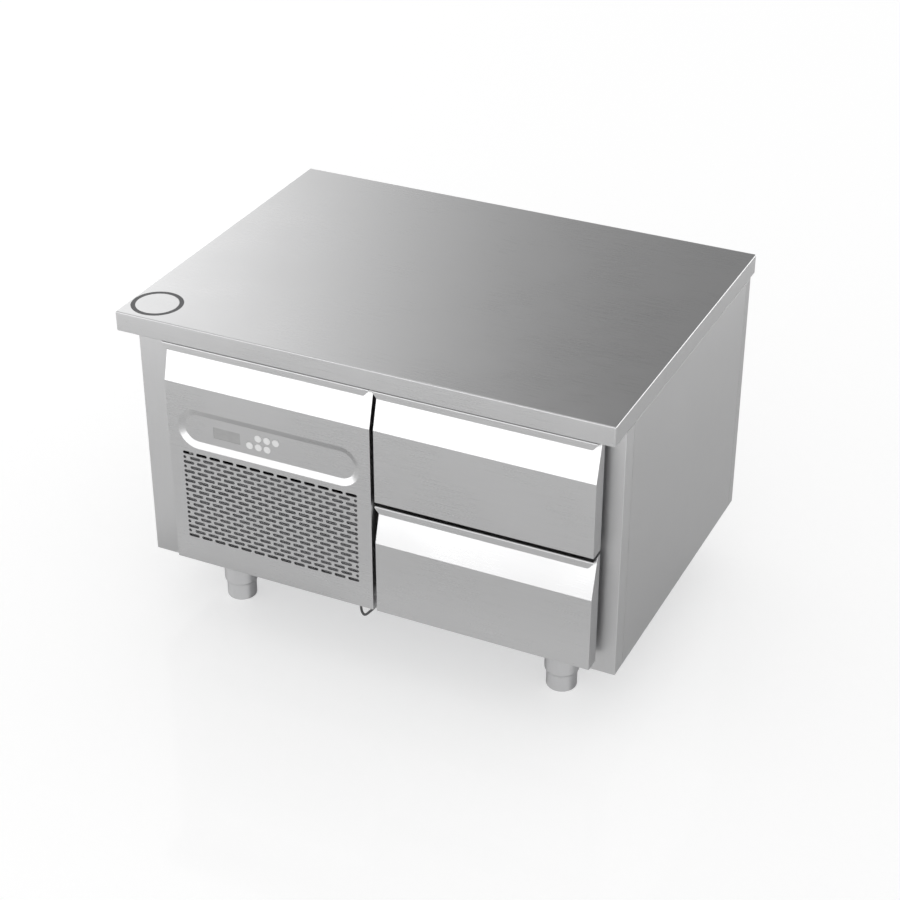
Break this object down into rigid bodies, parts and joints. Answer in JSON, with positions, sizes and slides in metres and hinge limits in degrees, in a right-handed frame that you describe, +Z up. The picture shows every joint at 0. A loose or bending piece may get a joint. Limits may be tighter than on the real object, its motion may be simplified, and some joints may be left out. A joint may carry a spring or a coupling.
{
  "type": "freezer chef base",
  "caption": "Low refrigerated stainless base with a heavy-duty worktop, stacked telescopic drawers and a hinged service panel with air grille and controls.",
  "frame": {"origin": "on the floor, under the middle of the worktop", "axes": "+X to the right seen from the front, +Y to the back, +Z up; the drawers and the service panel face -Y"},
  "size_m": [1, 0.75, 0.68],
  "materials": {
    "stainless": "satin",
    "galvanised": "matt",
    "board": "raw",
    "foam": "matt",
    "rubber": "matt",
    "fins": "satin",
    "tube": "satin",
    "shell": "painted satin",
    "sheet_black": "satin",
    "plastic_black": "matt",
    "plastic_grey": "matt",
    "button": "satin",
    "display": "gloss",
    "gasket": "matt",
    "filter": "matt"
  },
  "bodies": {
    "cabinet": {"worktop": "stainless", "worktop_board": "board", "left_side_panel": "stainless", "right_side_panel": "stainless", "back_panel": "stainless", "base_panel": "galvanised", "left_stile": "stainless", "right_stile": "stainless", "mullion": "stainless", "bottom_rail": "stainless", "top_rail": "stainless", "cross_rail": "stainless", "foam_insulation": "foam", "inner_liner": "stainless", "partition": "galvanised", "evaporator_cover": "stainless", "runner_uprights": "stainless", "outer_runners": "galvanised", "compressor": "shell", "compressor_mounts": "rubber", "condenser_coil": "fins", "fan_shroud": "sheet_black", "fan_motors": "shell", "refrigerant_pipes": "tube", "electrical_box": "plastic_grey", "condensate_tray": "plastic_black", "evaporator_coil": "fins", "leg_sleeves": "stainless", "panel_hinges": "galvanised", "lead_loop": "rubber"},
    "drawer_upper": {"upper_front_skin": "stainless", "upper_front_core": "foam", "upper_gasket": "gasket", "upper_drawer_box": "stainless", "upper_inner_runners": "galvanised"},
    "drawer_lower": {"lower_front_skin": "stainless", "lower_front_core": "foam", "lower_gasket": "gasket", "lower_drawer_box": "stainless", "lower_inner_runners": "galvanised"},
    "mid_upper": {"upper_mid_runners": "galvanised"},
    "mid_lower": {"lower_mid_runners": "galvanised"},
    "service_panel": {"service_panel_skin": "stainless", "service_panel_fillers": "plastic_black", "air_grille": "stainless", "air_filter": "filter", "controller_housing": "plastic_black", "display_window": "display"},
    "fan_condenser": {"condenser_fan": "plastic_black"},
    "fan_evaporator": {"evaporator_fan": "plastic_black"},
    "push_button_1": {"button_1": "button"},
    "push_button_2": {"button_2": "button"},
    "push_button_3": {"button_3": "button"},
    "push_button_4": {"button_4": "button"},
    "push_button_5": {"button_5": "button"},
    "push_button_6": {"button_6": "button"},
    "levelling_foot_front_left": {"foot_front_left": "stainless"},
    "levelling_foot_front_right": {"foot_front_right": "stainless"},
    "levelling_foot_back_left": {"foot_back_left": "stainless"},
    "levelling_foot_back_right": {"foot_back_right": "stainless"}
  },
  "joints": [
    {"name": "upper_drawer_slide", "type": "slide", "parent": "cabinet", "child": "drawer_upper", "axis": [0, -1, 0], "range_m": [0, 0.52]},
    {"name": "upper_mid_slide", "type": "slide", "parent": "cabinet", "child": "mid_upper", "axis": [0, -1, 0], "range_m": [0, 0.26]},
    {"name": "lower_drawer_slide", "type": "slide", "parent": "cabinet", "child": "drawer_lower", "axis": [0, -1, 0], "range_m": [0, 0.52]},
    {"name": "lower_mid_slide", "type": "slide", "parent": "cabinet", "child": "mid_lower", "axis": [0, -1, 0], "range_m": [0, 0.26]},
    {"name": "service_panel_hinge", "type": "hinge", "parent": "cabinet", "child": "service_panel", "pos_m": [-0.394, -0.341, 0.39675], "axis": [0, 0, -1], "range_deg": [0, 100]},
    {"name": "button_1_press", "type": "slide", "parent": "service_panel", "child": "push_button_1", "axis": [0, 1, 0], "range_m": [0, 0.001], "stiffness_N_per_m": 400, "springref_m": -0.0005},
    {"name": "button_2_press", "type": "slide", "parent": "service_panel", "child": "push_button_2", "axis": [0, 1, 0], "range_m": [0, 0.001], "stiffness_N_per_m": 400, "springref_m": -0.0005},
    {"name": "button_3_press", "type": "slide", "parent": "service_panel", "child": "push_button_3", "axis": [0, 1, 0], "range_m": [0, 0.001], "stiffness_N_per_m": 400, "springref_m": -0.0005},
    {"name": "button_4_press", "type": "slide", "parent": "service_panel", "child": "push_button_4", "axis": [0, 1, 0], "range_m": [0, 0.001], "stiffness_N_per_m": 400, "springref_m": -0.0005},
    {"name": "button_5_press", "type": "slide", "parent": "service_panel", "child": "push_button_5", "axis": [0, 1, 0], "range_m": [0, 0.001], "stiffness_N_per_m": 400, "springref_m": -0.0005},
    {"name": "button_6_press", "type": "slide", "parent": "service_panel", "child": "push_button_6", "axis": [0, 1, 0], "range_m": [0, 0.001], "stiffness_N_per_m": 400, "springref_m": -0.0005},
    {"name": "condenser_fan_spin", "type": "hinge", "parent": "cabinet", "child": "fan_condenser", "pos_m": [-0.23557, -0.158, 0.3241], "axis": [0, -1, 0], "continuous": true},
    {"name": "evaporator_fan_spin", "type": "hinge", "parent": "cabinet", "child": "fan_evaporator", "pos_m": [0.03205, -0.145, 0.35625], "axis": [1, 0, 0], "continuous": true},
    {"name": "foot_front_left_screw", "type": "slide", "parent": "cabinet", "child": "levelling_foot_front_left", "axis": [0, 0, -1], "range_m": [0, 0.03]},
    {"name": "foot_front_right_screw", "type": "slide", "parent": "cabinet", "child": "levelling_foot_front_right", "axis": [0, 0, -1], "range_m": [0, 0.03]},
    {"name": "foot_back_left_screw", "type": "slide", "parent": "cabinet", "child": "levelling_foot_back_left", "axis": [0, 0, -1], "range_m": [0, 0.03]},
    {"name": "foot_back_right_screw", "type": "slide", "parent": "cabinet", "child": "levelling_foot_back_right", "axis": [0, 0, -1], "range_m": [0, 0.03]}
  ],
  "couplings": [
    {"joint": "upper_mid_slide", "follows": "upper_drawer_slide", "ratio": 0.5},
    {"joint": "lower_mid_slide", "follows": "lower_drawer_slide", "ratio": 0.5}
  ]
}
